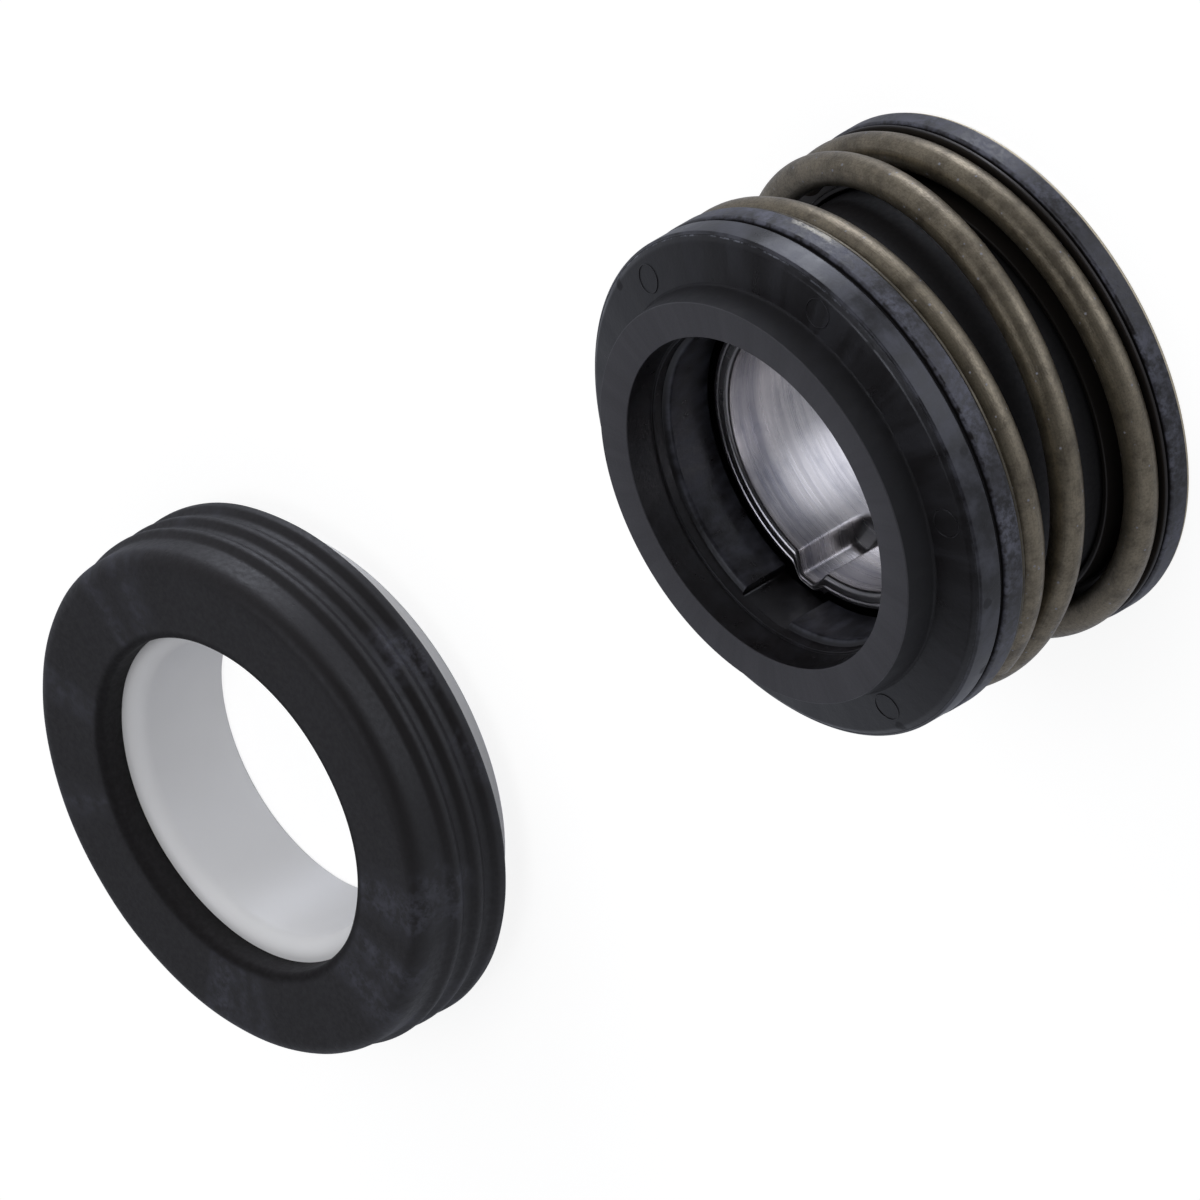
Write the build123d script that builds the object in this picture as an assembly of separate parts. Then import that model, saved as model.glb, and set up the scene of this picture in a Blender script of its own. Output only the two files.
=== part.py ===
"""Component mechanical seal for a 3/4 inch pump shaft, as its two separate halves.

The rotary head stands on its rear flange with its sealing nose up, on the row's Z axis.
The stationary seat lies beside it on its lapped ceramic face. Millimetres, Z up.
Heights are measured from the surface that both halves stand on.
"""

import os
from math import cos, radians, sin

from build123d import *

# Rotary head, heights stacked from the foot to the nose
sleeve_sheet = 0.5
rear_flange_height = 1.2
rear_step_height = 0.2
rear_seat_sheet = 0.3
spring_free_height = 12.8
front_seat_sheet = 0.3
front_flange_height = 1.6
joint_groove_height = 0.4
washer_rim_height = 1.8
nose_height = 3.1
drive_engagement = 0.1
face_travel = 3.5

# Rotary head, radii stacked from the shaft outwards
shaft_radius = 9.525
hub_gap = 1.275
hub_wall = 1.25
drum_step = 0.3
drum_wall = 1.3
spring_seat_clearance = 0.2
collar_sheet = 0.4
coil_clearance = 0.55
wire_radius = 1.15

# Drive sleeve, pressed from stainless sheet
sleeve_flange_inset = 0.05
mouth_bend_radius = 0.35
mouth_lip_width = 0.1
channel_bearing = 214.0
channel_centre_rise = 0.175
channel_inner_radius = 1.3
channel_length = 5.5

# Rubber bellows
bellows_flange_rise = 0.05
bellows_tail_inset = 0.05
bellows_step_depth = 0.45
tail_collar_wall = 1.6
tail_collar_height = 3.4
tail_floor = 1.9
rubber_fillet = 0.5
flange_edge_fillet = 0.25

# Thin metal spring seats
spring_seat_inset = 0.1
collar_height = 2.7
collar_bend_fillet = 0.25

# Spring: left-hand, squared ends, bearings in degrees from the upper tip down
upper_tip_bearing = -440.0
lift_start_bearing = -240.0
lift_end_bearing = 255.0
lower_tip_bearing = 462.0
spring_step = 17.52
coil_end_clearance = 0.05

# Moulded carbon seal washer
nose_width = 2.48
nose_bore_step = 0.63
nose_bore_depth = 2.3
nose_draft = 0.29
nose_root_rise = 0.9
bore_land_step = 0.42
bore_land_depth = 0.75
bore_land_chamfer = 0.3
shoulder_inset = 0.55
shoulder_rise = 0.4
shoulder_fillet = 0.4
rim_flash_inset = 0.2
rim_flash_rise = 0.1
slot_side_clearance = 0.3
slot_floor_clearance = 0.35
slot_end_clearance = 0.4

# Stationary seat, radii stacked from the bore outwards
seat_centre_x = -90.0
ceramic_bore_radius = 10.9
ceramic_wall = 5.6
cup_wall = 2.1
ridge_rise = 0.4
ceramic_height = 8.2
ceramic_proud = 2.4
ceramic_bore_round = 1.2
ceramic_back_round = 0.8
ceramic_edge_chamfer = 0.3
cup_back_wall = 2.05
cup_lip_setback = 1.4
cup_lip_round = 0.55
cup_shoulder_round = 1.2
cup_mouth_round = 0.6
ridge_pitch = 1.95
ridge_crest_width = 0.4
ridge_slope_width = 0.5
ridge_round = 0.2
first_crest_depth = 3.15
mouth_band_height = 0.8

# Heights that follow from the sizes above
flange_top = sleeve_sheet
rear_step_base = flange_top + rear_flange_height
rear_seat_base = rear_step_base + rear_step_height
spring_base = rear_seat_base + rear_seat_sheet
spring_top = spring_base + spring_free_height
front_flange_base = spring_top + front_seat_sheet
joint_groove_base = front_flange_base + front_flange_height
washer_base = joint_groove_base + joint_groove_height
washer_rim_top = washer_base + washer_rim_height
nose_top = washer_rim_top + nose_height
sleeve_height = front_flange_base + drive_engagement
seat_thickness = ceramic_height + cup_back_wall

# Radii that follow from the sizes above
sleeve_radius = shaft_radius + sleeve_sheet
mouth_outer_bend = mouth_bend_radius + sleeve_sheet
channel_centre_radius = shaft_radius + channel_centre_rise
channel_outer_radius = channel_inner_radius + sleeve_sheet
slot_floor_radius = channel_centre_radius + channel_outer_radius + slot_floor_clearance
hub_bore_radius = sleeve_radius + hub_gap
hub_radius = slot_floor_radius + hub_wall
drum_bore_radius = hub_radius + drum_step
drum_radius = drum_bore_radius + drum_wall
spring_seat_bore = drum_radius + spring_seat_clearance
collar_radius = spring_seat_bore + collar_sheet
spring_mean_radius = collar_radius + coil_clearance + wire_radius
head_radius = spring_mean_radius + wire_radius
spring_seat_radius = head_radius - spring_seat_inset
nose_bore_radius = hub_bore_radius + nose_bore_step
nose_outer_radius = nose_bore_radius + nose_width
ceramic_radius = ceramic_bore_radius + ceramic_wall
cup_bore_radius = ceramic_bore_radius + cup_lip_setback
cup_land_radius = ceramic_radius + cup_wall
cup_crest_radius = cup_land_radius + ridge_rise


def ring(corners, rounds=()):
    """One turned solid about Z from its (radius, height) corners, with some corners rounded."""
    face = make_face(Polyline(*[(r, 0, z) for r, z in corners], close=True))
    for spot, radius in rounds:
        corner = face.vertices().sort_by_distance((spot[0], 0, spot[1]))[0]
        face = fillet(corner, radius)
    return revolve(face, Axis.Z)


def at_bearing(shape, bearing):
    """Turns a shape made on the +X side to a bearing about the head's axis."""
    return shape.rotate(Axis.Z, bearing)


def drive_sleeve():
    """Flanged tube with a rolled mouth and one drive channel pressed outward."""
    flange_radius = head_radius - sleeve_flange_inset
    bend_base = sleeve_height - mouth_outer_bend
    lip_radius = sleeve_radius + mouth_bend_radius + mouth_lip_width
    tube = ring(
        [
            (shaft_radius, 0),
            (flange_radius, 0),
            (flange_radius, flange_top),
            (sleeve_radius, flange_top),
            (sleeve_radius, sleeve_height - sleeve_sheet),
            (lip_radius, sleeve_height - sleeve_sheet),
            (lip_radius, sleeve_height),
            (shaft_radius, sleeve_height),
        ],
        [
            ((sleeve_radius, sleeve_height - sleeve_sheet), mouth_bend_radius),
            ((shaft_radius, sleeve_height), mouth_outer_bend),
        ],
    )
    outer = channel_form(channel_outer_radius, sleeve_height)
    inner = channel_form(channel_inner_radius, sleeve_height + mouth_outer_bend)
    shaft_way = Cylinder(shaft_radius, sleeve_height, align=(Align.CENTER, Align.CENTER, Align.MIN))
    mouth_way = Cone(
        shaft_radius,
        shaft_radius + mouth_outer_bend,
        mouth_outer_bend,
        align=(Align.CENTER, Align.CENTER, Align.MIN),
    )
    mouth_way = Pos(0, 0, bend_base) * mouth_way
    return tube + (outer - shaft_way - mouth_way) - inner


def channel_form(radius, top):
    """A round-ended rod along the sleeve, at the channel's place and bearing."""
    tip = sleeve_height - channel_length
    length = top - tip
    rod = Cylinder(radius, length, align=(Align.CENTER, Align.CENTER, Align.MIN)) + Sphere(radius)
    return at_bearing(Pos(channel_centre_radius, 0, tip) * rod, channel_bearing)


def bellows():
    """Rubber drum between a front flange round the washer's hub and a rear flange on the sleeve."""
    front_radius = head_radius + bellows_flange_rise
    front_step = front_radius - bellows_step_depth
    tail_radius = head_radius - bellows_tail_inset
    tail_step = tail_radius - bellows_step_depth
    grip_radius = sleeve_radius + tail_collar_wall
    floor = flange_top + tail_floor
    grip_top = floor + tail_collar_height
    return ring(
        [
            (sleeve_radius, flange_top),
            (tail_radius, flange_top),
            (tail_radius, rear_step_base),
            (tail_step, rear_step_base),
            (tail_step, rear_seat_base),
            (drum_radius, rear_seat_base),
            (drum_radius, front_flange_base),
            (front_radius, front_flange_base),
            (front_radius, joint_groove_base),
            (front_step, joint_groove_base),
            (front_step, washer_base),
            (hub_radius, washer_base),
            (hub_radius, front_flange_base),
            (drum_bore_radius, front_flange_base),
            (drum_bore_radius, floor),
            (grip_radius, floor),
            (grip_radius, grip_top),
            (sleeve_radius, grip_top),
        ],
        [
            ((drum_bore_radius, floor), rubber_fillet),
            ((grip_radius, floor), rubber_fillet),
            ((grip_radius, grip_top), rubber_fillet),
            ((tail_radius, rear_step_base), flange_edge_fillet),
            ((front_radius, joint_groove_base), flange_edge_fillet),
            ((front_radius, front_flange_base), flange_edge_fillet),
        ],
    )


def rear_spring_seat():
    """Pressed ring under the spring, with a collar that centres the end coil."""
    collar_top = spring_base + collar_height
    return ring(
        [
            (spring_seat_bore, rear_seat_base),
            (spring_seat_radius, rear_seat_base),
            (spring_seat_radius, spring_base),
            (collar_radius, spring_base),
            (collar_radius, collar_top),
            (spring_seat_bore, collar_top),
        ],
        [((collar_radius, spring_base), collar_bend_fillet)],
    )


def front_spring_seat():
    """Plain thin ring between the spring and the bellows' front flange."""
    return ring(
        [
            (spring_seat_bore, spring_top),
            (spring_seat_radius, spring_top),
            (spring_seat_radius, front_flange_base),
            (spring_seat_bore, front_flange_base),
        ]
    )


def coil_height(bearing):
    """Height of the wire's centre line: flat end coils, with an eased drop between them."""
    upper = spring_top - coil_end_clearance - wire_radius
    lower = spring_base + coil_end_clearance + wire_radius
    share = (bearing - lift_start_bearing) / (lift_end_bearing - lift_start_bearing)
    share = min(max(share, 0.0), 1.0)
    return upper + (lower - upper) * share * share * (3 - 2 * share)


def spring():
    """Left-hand compression spring with squared ends, swept along its eased centre line."""
    steps = round((lower_tip_bearing - upper_tip_bearing) / spring_step)
    turn = (lower_tip_bearing - upper_tip_bearing) / steps
    bearings = [upper_tip_bearing + turn * i for i in range(steps + 1)]
    centre_line = Spline(
        [
            (
                spring_mean_radius * cos(radians(b)),
                spring_mean_radius * sin(radians(b)),
                coil_height(b),
            )
            for b in bearings
        ]
    )
    wire_section = Plane(centre_line @ 0, z_dir=centre_line % 0) * Circle(wire_radius)
    return sweep(wire_section, path=centre_line)


def seal_washer():
    """Carbon ring with a raised nose, a sloping shoulder and a slotted hub inside the bellows."""
    bore_step = nose_top - nose_bore_depth
    land_base = bore_step - bore_land_depth
    land_radius = hub_bore_radius + bore_land_step
    shoulder_radius = head_radius - shoulder_inset
    shoulder_height = washer_rim_top + shoulder_rise
    turned = ring(
        [
            (nose_bore_radius, nose_top),
            (nose_outer_radius, nose_top),
            (nose_outer_radius + nose_draft, washer_rim_top + nose_root_rise),
            (shoulder_radius, shoulder_height),
            (head_radius - rim_flash_inset, washer_rim_top + rim_flash_rise),
            (head_radius, washer_rim_top),
            (head_radius, washer_base),
            (hub_radius, washer_base),
            (hub_radius, front_flange_base),
            (hub_bore_radius, front_flange_base),
            (hub_bore_radius, land_base - bore_land_chamfer),
            (land_radius, land_base),
            (land_radius, bore_step),
            (nose_bore_radius, bore_step),
        ],
        [((shoulder_radius, shoulder_height), shoulder_fillet)],
    )
    return turned - drive_slot()


def drive_slot():
    """Slot in the hub's bore that slides over the sleeve's channel as the face is pushed in."""
    half_width = channel_outer_radius + slot_side_clearance
    top = sleeve_height + face_travel + slot_end_clearance
    slot = Box(
        slot_floor_radius - shaft_radius,
        2 * half_width,
        top - front_flange_base,
        align=(Align.MIN, Align.CENTER, Align.MIN),
    )
    return at_bearing(Pos(shaft_radius, 0, front_flange_base) * slot, channel_bearing)


def seat_cup():
    """Rubber cup round the ceramic: flat back, rounded shoulder and gripping ridges."""
    return Pos(seat_centre_x, 0, 0) * ring(cup_outline(), cup_rounds())


def ridge_tops():
    """Upper edge of each ridge's crest, from the back of the cup as far as its mouth band."""
    first = seat_thickness - first_crest_depth
    room = first - ceramic_proud - mouth_band_height
    steps = int(room / ridge_pitch + 0.001)
    return [first - ridge_pitch * i for i in range(steps + 1)]


def cup_outline():
    """Corners of the cup's section, up the bore side and down over the ridges."""
    corners = [
        (ceramic_radius, ceramic_proud),
        (ceramic_radius, ceramic_height),
        (cup_bore_radius, ceramic_height),
        (cup_bore_radius, seat_thickness),
        (cup_land_radius, seat_thickness),
    ]
    tops = ridge_tops()
    for top in tops:
        corners += [(cup_land_radius, top + ridge_slope_width), (cup_crest_radius, top)]
        if top > tops[-1]:
            base = top - ridge_crest_width
            corners += [(cup_crest_radius, base), (cup_land_radius, base - ridge_slope_width)]
    corners.append((cup_crest_radius, ceramic_proud))
    return corners


def cup_rounds():
    """The cup's rounded corners: lip, shoulder, mouth, the back of the ceramic and the valleys."""
    rounds = [
        ((cup_bore_radius, seat_thickness), cup_lip_round),
        ((cup_land_radius, seat_thickness), cup_shoulder_round),
        ((cup_crest_radius, ceramic_proud), cup_mouth_round),
        ((ceramic_radius, ceramic_height), ceramic_back_round),
    ]
    valleys = [(r, z) for r, z in cup_outline() if r == cup_land_radius and z < seat_thickness]
    return rounds + [(valley, ridge_round) for valley in valleys]


def ceramic_seat():
    """White ceramic ring, lapped on the face it lies on, with a rounded back edge in the bore."""
    body = ring(
        [
            (ceramic_bore_radius, 0),
            (ceramic_radius, 0),
            (ceramic_radius, ceramic_height),
            (ceramic_bore_radius, ceramic_height),
        ],
        [
            ((ceramic_bore_radius, ceramic_height), ceramic_bore_round),
            ((ceramic_radius, ceramic_height), ceramic_back_round),
        ],
    )
    lapped_edges = body.edges().group_by(Axis.Z)[0]
    return Pos(seat_centre_x, 0, 0) * chamfer(lapped_edges, ceramic_edge_chamfer)


pieces = {
    "drive_sleeve": drive_sleeve,
    "rear_spring_seat": rear_spring_seat,
    "spring": spring,
    "bellows": bellows,
    "front_spring_seat": front_spring_seat,
    "seal_washer": seal_washer,
    "ceramic_seat": ceramic_seat,
    "seat_cup": seat_cup,
}

os.makedirs("parts", exist_ok=True)
for name, make in pieces.items():
    export_step(make(), f"parts/{name}.step")
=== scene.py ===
"""Looks of a two-part shaft seal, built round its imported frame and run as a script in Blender.

The rotary head stands on its rear flange with its nose up, on the Z axis. The stationary seat
lies beside it on its lapped face. Lengths are metres, and MM turns millimetres into them.
"""

import math
from functools import partialmethod

import bmesh
import bpy
from mathutils import Matrix, Vector, noise


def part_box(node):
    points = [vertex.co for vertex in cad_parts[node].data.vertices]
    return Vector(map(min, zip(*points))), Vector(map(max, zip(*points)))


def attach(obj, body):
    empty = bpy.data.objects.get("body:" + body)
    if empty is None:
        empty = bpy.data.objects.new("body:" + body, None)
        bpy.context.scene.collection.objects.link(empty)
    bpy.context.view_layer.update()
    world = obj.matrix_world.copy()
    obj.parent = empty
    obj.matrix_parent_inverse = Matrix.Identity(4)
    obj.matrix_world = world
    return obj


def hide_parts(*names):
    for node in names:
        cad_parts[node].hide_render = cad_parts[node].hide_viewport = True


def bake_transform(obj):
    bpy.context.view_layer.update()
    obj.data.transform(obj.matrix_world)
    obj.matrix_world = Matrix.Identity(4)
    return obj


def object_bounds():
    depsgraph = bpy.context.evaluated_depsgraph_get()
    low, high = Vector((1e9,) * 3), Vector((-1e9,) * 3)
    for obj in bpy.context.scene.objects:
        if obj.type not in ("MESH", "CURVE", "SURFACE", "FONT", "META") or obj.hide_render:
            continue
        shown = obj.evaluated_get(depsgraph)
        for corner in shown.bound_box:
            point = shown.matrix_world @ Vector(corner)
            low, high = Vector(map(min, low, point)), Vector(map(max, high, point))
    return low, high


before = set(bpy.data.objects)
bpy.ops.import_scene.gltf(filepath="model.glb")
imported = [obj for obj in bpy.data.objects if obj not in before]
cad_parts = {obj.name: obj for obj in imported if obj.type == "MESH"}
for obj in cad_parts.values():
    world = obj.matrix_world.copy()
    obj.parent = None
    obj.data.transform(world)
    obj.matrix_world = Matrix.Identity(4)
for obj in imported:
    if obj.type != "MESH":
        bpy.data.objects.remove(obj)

bl_info = {
    "name": "Shaft seal looks",
    "version": (1, 0, 0),
    "blender": (4, 5, 0),
    "location": "3D View > Sidebar > Seal",
    "description": "Builds the pieces, finishes and stage of a bellows shaft seal and its seat",
    "category": "Object",
}

MM = 0.001
FULL_TURN = 2 * math.pi
PHOTO_SIDE = 1200
START_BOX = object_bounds()

# Bearing in degrees and radius in millimetres of each ejector pin's mark on the shoulder
PIN_MARKS = ((94, 16.2), (32, 16.3), (-27, 16.3), (-97, 16.0))

# Profiles as steps in from the edge, steps down from the top and roundings, in millimetres
RIM_FLASH = ((0.2, -0.09, 0.1), (0.17, -0.11, 0.02), (0.12, -0.04, 0.03), (0.0, 0.05, 0.1))
LIP_CROWN = ((0.0, 0.08, 0.1), (0.3, 0.02, 0.2), (0.42, 0.1, 0.05), (0.52, 0.0, 0.1))

# Places in the light tent, in degrees: bearing, height, and the soft edge's outer and inner reach
TENT_DOOR = (0, 34, 60, 25)
SIDE_PANEL = (84, -34, 18, 6)
FRONT_PANEL = (4, -34, 30, 6)
ROOF_PANEL = (88, 78, 19, 8)

# Upward part of the direction where the tent's roof begins and where it is dimmest
ROOF_EDGE = (0.5, 0.82)

# Lamps: place from the middle of the object, width and height, in metres
SIDE_LAMP = ((0.1, 0.6, 0.18), 0.7, 0.3)
TOP_LAMP = ((0.35, 0.15, 0.75), 0.5, 0.5)

WHITE = (1.0, 1.0, 1.0)
SKY_TINT = (0.95, 0.96, 1.0)
TENT_TINT = (0.84, 0.88, 1.0)

# Sides of a turned piece, and the longest straight run of a soft piece's section
SIDES = 320
SOFT_RUN = 0.8 * MM


# Sizes that come from the frame


class Extent:
    """Axis, outer radius, foot and top of a CAD node that is round about an upright axis."""

    def __init__(self, node):
        low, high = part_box(node)
        self.axis = (low.x + high.x) / 2
        self.radius = (high.y - low.y) / 2
        self.foot = low.z
        self.top = high.z


washer_box = Extent("seal_washer")
bellows_box = Extent("bellows")
spring_box = Extent("spring")
sleeve_box = Extent("drive_sleeve")
front_seat_box = Extent("front_spring_seat")
rear_seat_box = Extent("rear_spring_seat")
ceramic_box = Extent("ceramic_seat")
cup_box = Extent("seat_cup")


# Settings that a user would change


def named(group):
    """Names each setting of a group after its identifier."""
    for key, setting in group.__annotations__.items():
        setting.keywords["name"] = key.replace("_", " ").capitalize()
    return group


def number(description, value, **kind):
    """A number property, with a unit or subtype where one fits."""
    return bpy.props.FloatProperty(description=description, default=value, **kind)


def size(description, millimetres):
    """A length property, given in millimetres."""
    return number(description, millimetres * MM, unit="LENGTH", precision=5)


def angle(description, degrees):
    """An angle property, given in degrees. Bearings about a piece's own axis start at +X."""
    return number(description, math.radians(degrees), subtype="ANGLE")


def pixel(description, place):
    """A place in the picture, in pixels right of and down from its upper left corner."""
    return bpy.props.FloatVectorProperty(description=description, default=place, size=2)


def linear(value):
    """One channel of a screen colour as linear light."""
    return value / 12.92 if value <= 0.04045 else ((value + 0.055) / 1.055) ** 2.4


def screen_colour(code):
    """Linear red, green and blue of a screen colour written as six hex digits."""
    return [linear(int(code[i : i + 2], 16) / 255) for i in (0, 2, 4)]


def colour(description, code):
    """A colour property, given as a screen colour."""
    limits = {"subtype": "COLOR", "size": 3, "min": 0, "max": 1}
    shade = screen_colour(code)
    return bpy.props.FloatVectorProperty(description=description, default=shade, **limits)


@named
class HeadSizes(bpy.types.PropertyGroup):
    """Sizes of the rotary head that the frame's boxes don't give."""

    nose_bore: size("Radius of the bore through the sealing nose", 11.93)
    nose_radius: size("Outer radius of the sealing nose", 14.41)
    nose_draft: size("Widening of the nose down to its root", 0.29)
    nose_depth: size("Height of the nose above its root", 2.2)
    shoulder_inset: size("Where the shoulder turns over, in from the rim", 0.55)
    shoulder_drop: size("Fall of the shoulder's outer edge below the nose face", 2.7)
    rim_drop: size("Fall of the rim below the nose face", 3.1)
    rim_height: size("Height of the washer's outer rim", 1.8)
    bore_step: size("Depth of the step inside the nose bore", 2.3)
    land_radius: size("Radius of the narrow land below the bore's step", 11.72)
    land_depth: size("Height of the land below the bore's step", 0.75)
    hub_bore: size("Radius of the bore through the hub", 11.3)
    hub_radius: size("Outer radius of the hub", 13.1)
    slot_floor: size("Radius of the floor of the drive slot", 11.85)
    slot_width: size("Width of the drive slot", 4.2)
    slot_top: size("Fall of the slot's closed end below the nose face", 2.9)
    mark_radius: size("Radius of the ejector pins' marks", 1.0)
    mark_line: size("Half the thickness of a mark's raised line", 0.045)
    drive_bearing: angle("Bearing of the drive channel and its slot", 214)
    shaft_radius: size("Radius of the sleeve's bore", 9.525)
    sleeve_sheet: size("Thickness of the sleeve's sheet", 0.5)
    mouth_bend: size("Inner radius of the sleeve's rolled mouth", 0.35)
    lip_width: size("Width of the sleeve's rolled lip beyond its bend", 0.4)
    channel_depth: size("Depth of the pressed channel beyond the bore", 1.42)
    channel_floor: size("Half the width of the channel's flat floor", 0.4)
    channel_side: size("Half the width of the channel at the bore", 1.5)
    channel_length: size("Mouth to the end of the channel's flat floor", 4.6)
    channel_ramp: size("Length of the ramp behind the channel's floor", 2.0)
    drum_radius: size("Outer radius of the bellows drum", 14.7)
    drum_wall: size("Wall of the bellows drum", 1.3)
    front_flange: size("Height of the bellows' front flange", 1.6)
    tail_flange: size("Height of the bellows' rear flange", 1.2)
    flange_step: size("Depth of the dark grooves beside both flanges", 0.45)
    skirt_height: size("Height of the rubber's skirt above the floor", 0.27)
    tail_wall: size("Wall of the bellows' grip on the sleeve", 1.6)
    tail_height: size("Height of the bellows' grip above its floor", 3.4)
    tail_floor: size("Thickness of the bellows' floor", 1.9)
    wire_radius: size("Radius of the spring wire", 1.15)
    upper_tip: angle("Bearing of the spring's upper tip", -440)
    lift_start: angle("Bearing where the upper end coils begin to drop", -240)
    lift_end: angle("Bearing where the lower end coils lie flat", 255)
    lower_tip: angle("Bearing of the spring's lower tip", 462)
    seat_sheet: size("Thickness of the rear spring seat's sheet", 0.3)
    seat_bore: size("Radius of both spring seats' bore", 14.9)
    collar_sheet: size("Thickness of the rear spring seat's collar", 0.4)


@named
class SeatSizes(bpy.types.PropertyGroup):
    """Sizes of the stationary seat that the frame's boxes don't give."""

    ceramic_bore: size("Radius of the ceramic's bore", 10.9)
    bore_round: size("Rounding of the back edge of the ceramic's bore", 1.2)
    back_round: size("Rounding of the ceramic's outer back edge", 0.8)
    edge_chamfer: size("Chamfer round the ceramic's lapped face", 0.3)
    cup_bore: size("Radius of the cup's opening at the back", 12.3)
    lip_round: size("Rounding of the edge of the cup's opening", 0.55)
    shoulder_round: size("Rounding of the cup's back edge", 1.2)
    mouth_round: size("Rounding of the cup's mouth", 0.6)
    ridge_rise: size("Height of the ridges above the cup's side", 0.4)
    ridge_pitch: size("Distance from ridge to ridge", 1.95)
    crest_width: size("Width of a ridge's crest", 0.4)
    slope_width: size("Width of a ridge's slope", 0.5)
    crest_round: size("Rounding of a ridge's crest", 0.45)
    groove_round: size("Rounding of the groove beside a ridge", 0.5)
    first_crest: size("Depth of the first ridge's crest below the cup's back", 3.15)
    ridge_count: bpy.props.IntProperty(description="Ridges round the cup", default=3, min=1, max=8)


@named
class Finishes(bpy.types.PropertyGroup):
    """Colours of the finishes."""

    rubber: colour("Clean black rubber", "191616")
    # Painted shade: darker rubber for the bellows drum, the grooves beside its flanges, its inner
    # faces and the cup's bore, where shade falls.
    drum: colour("Black rubber away from the worn faces", "131010")
    # The washer also takes this colour as a painted bluish sheen on its rim and in its hub bore.
    bloom: colour("Grey-blue bloom and talc on the rubber", "696b79")
    carbon: colour("Moulded skin of the washer", "110f10")
    lapped: colour("Lapped face of the nose", "3a393d")
    flash: colour("Pale broken line along the washer's rim", "8f93a0")
    scuff: colour("Scraped places on the rubber's edge", "b9b6ae")
    wire: colour("Olive-bronze skin of the spring wire", "8d8370")
    stain: colour("Dark stain on the spring wire", "37312a")
    dull_sheet: colour("Stained sheet of the front spring seat", "5e584b")
    # Also painted as shade in a band just below the sleeve's mouth.
    stained: colour("Grey stains on the bright sheet", "75757d")
    # A paler gold colour on the outer edge of the sleeve's flange, brightened so that its thin edge
    # shows.
    cut_sheet: colour("Yellowed edge of the sleeve's flange", "c2b79e")
    # Painted shade: the rear spring seat, in shade behind the coils, is painted nearly black; the
    # front seat's haze stains also fade towards this colour.
    shade_and_stain_sheet: colour("Blackened sheet of the rear spring seat", "2a2623")
    sheet: colour("Bright stainless sheet", "bbb7b5")
    ceramic: colour("White sintered ceramic", "ececed")
    floor: colour("Pale studio floor", "ffffff")


@named
class StageSettings(bpy.types.PropertyGroup):
    """Camera and light."""

    elevation: angle("Height of the camera above the horizon", 34)
    axis_lean: angle("Way the upright axis points in the picture, from its right", 210)
    distance: number("Distance of the camera from the object", 3.4, unit="LENGTH")
    pixels_each_mm: number("Scale of the picture at the object", 15.12)
    nose_pixel: pixel("Place of the nose face's centre in the picture", (751, 505))
    cup_pixel: pixel("Place of the cup's back in the picture", (223, 810))
    side_light: number("Power of the long soft lamp at the side", 1.2, unit="POWER")
    top_light: number("Power of the overhead lamp", 1.7, unit="POWER")
    sky: number("Strength of the soft light from all round", 0.38)
    tent: number("Brightness of the tent as it mirrors in a finish", 0.5)
    tent_roof: number("Brightness of the tent's roof", 0.06)
    tent_door: number("Share by which the tent is darker at its door", 0.85)
    side_panel: number("Extra brightness of the panel at the side", 5.5)
    front_panel: number("Extra brightness of the panel in front", 1.5)
    roof_panel: number("Extra brightness of the small panel overhead", 3.0)


def settings(group):
    """One of the scene's setting groups."""
    return getattr(bpy.context.scene, group)


# Node trees, with their maths written as Python


class Socket:
    """A value in a node tree. Arithmetic on it adds the nodes that work it out."""

    def __init__(self, wiring, output):
        self.wiring = wiring
        self.output = output

    def maths(self, operation, *values):
        """This value put through a Math node, with any further values after it."""
        sockets = dict(enumerate((self, *values)))
        return self.wiring.add("ShaderNodeMath", {"operation": operation}, sockets)

    def reflected(self, operation, value):
        """A plain number put through a Math node, with this value after it."""
        return self.wiring.add("ShaderNodeMath", {"operation": operation}, {0: value, 1: self})

    __add__ = partialmethod(maths, "ADD")
    __radd__ = partialmethod(reflected, "ADD")
    __sub__ = partialmethod(maths, "SUBTRACT")
    __rsub__ = partialmethod(reflected, "SUBTRACT")
    __mul__ = partialmethod(maths, "MULTIPLY")
    __rmul__ = partialmethod(reflected, "MULTIPLY")
    __truediv__ = partialmethod(maths, "DIVIDE")
    __rtruediv__ = partialmethod(reflected, "DIVIDE")
    __pow__ = partialmethod(maths, "POWER")
    __rpow__ = partialmethod(reflected, "POWER")

    def ramp(self, low, high, start=0.0, end=1.0):
        """Eases from start to end as the value goes from low to high."""
        return self.wiring.add(
            "ShaderNodeMapRange",
            {"interpolation_type": "SMOOTHSTEP"},
            {0: self, 1: low, 2: high, 3: start, 4: end},
        )

    def band(self, low, high, edge):
        """1 between low and high, easing to 0 over edge outside them."""
        return self.ramp(low - edge, low) * self.ramp(high, high + edge, 1.0, 0.0)


def rgba(value):
    """Red, green and blue as the four numbers that a colour socket takes."""
    return (*value, 1.0)


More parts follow.
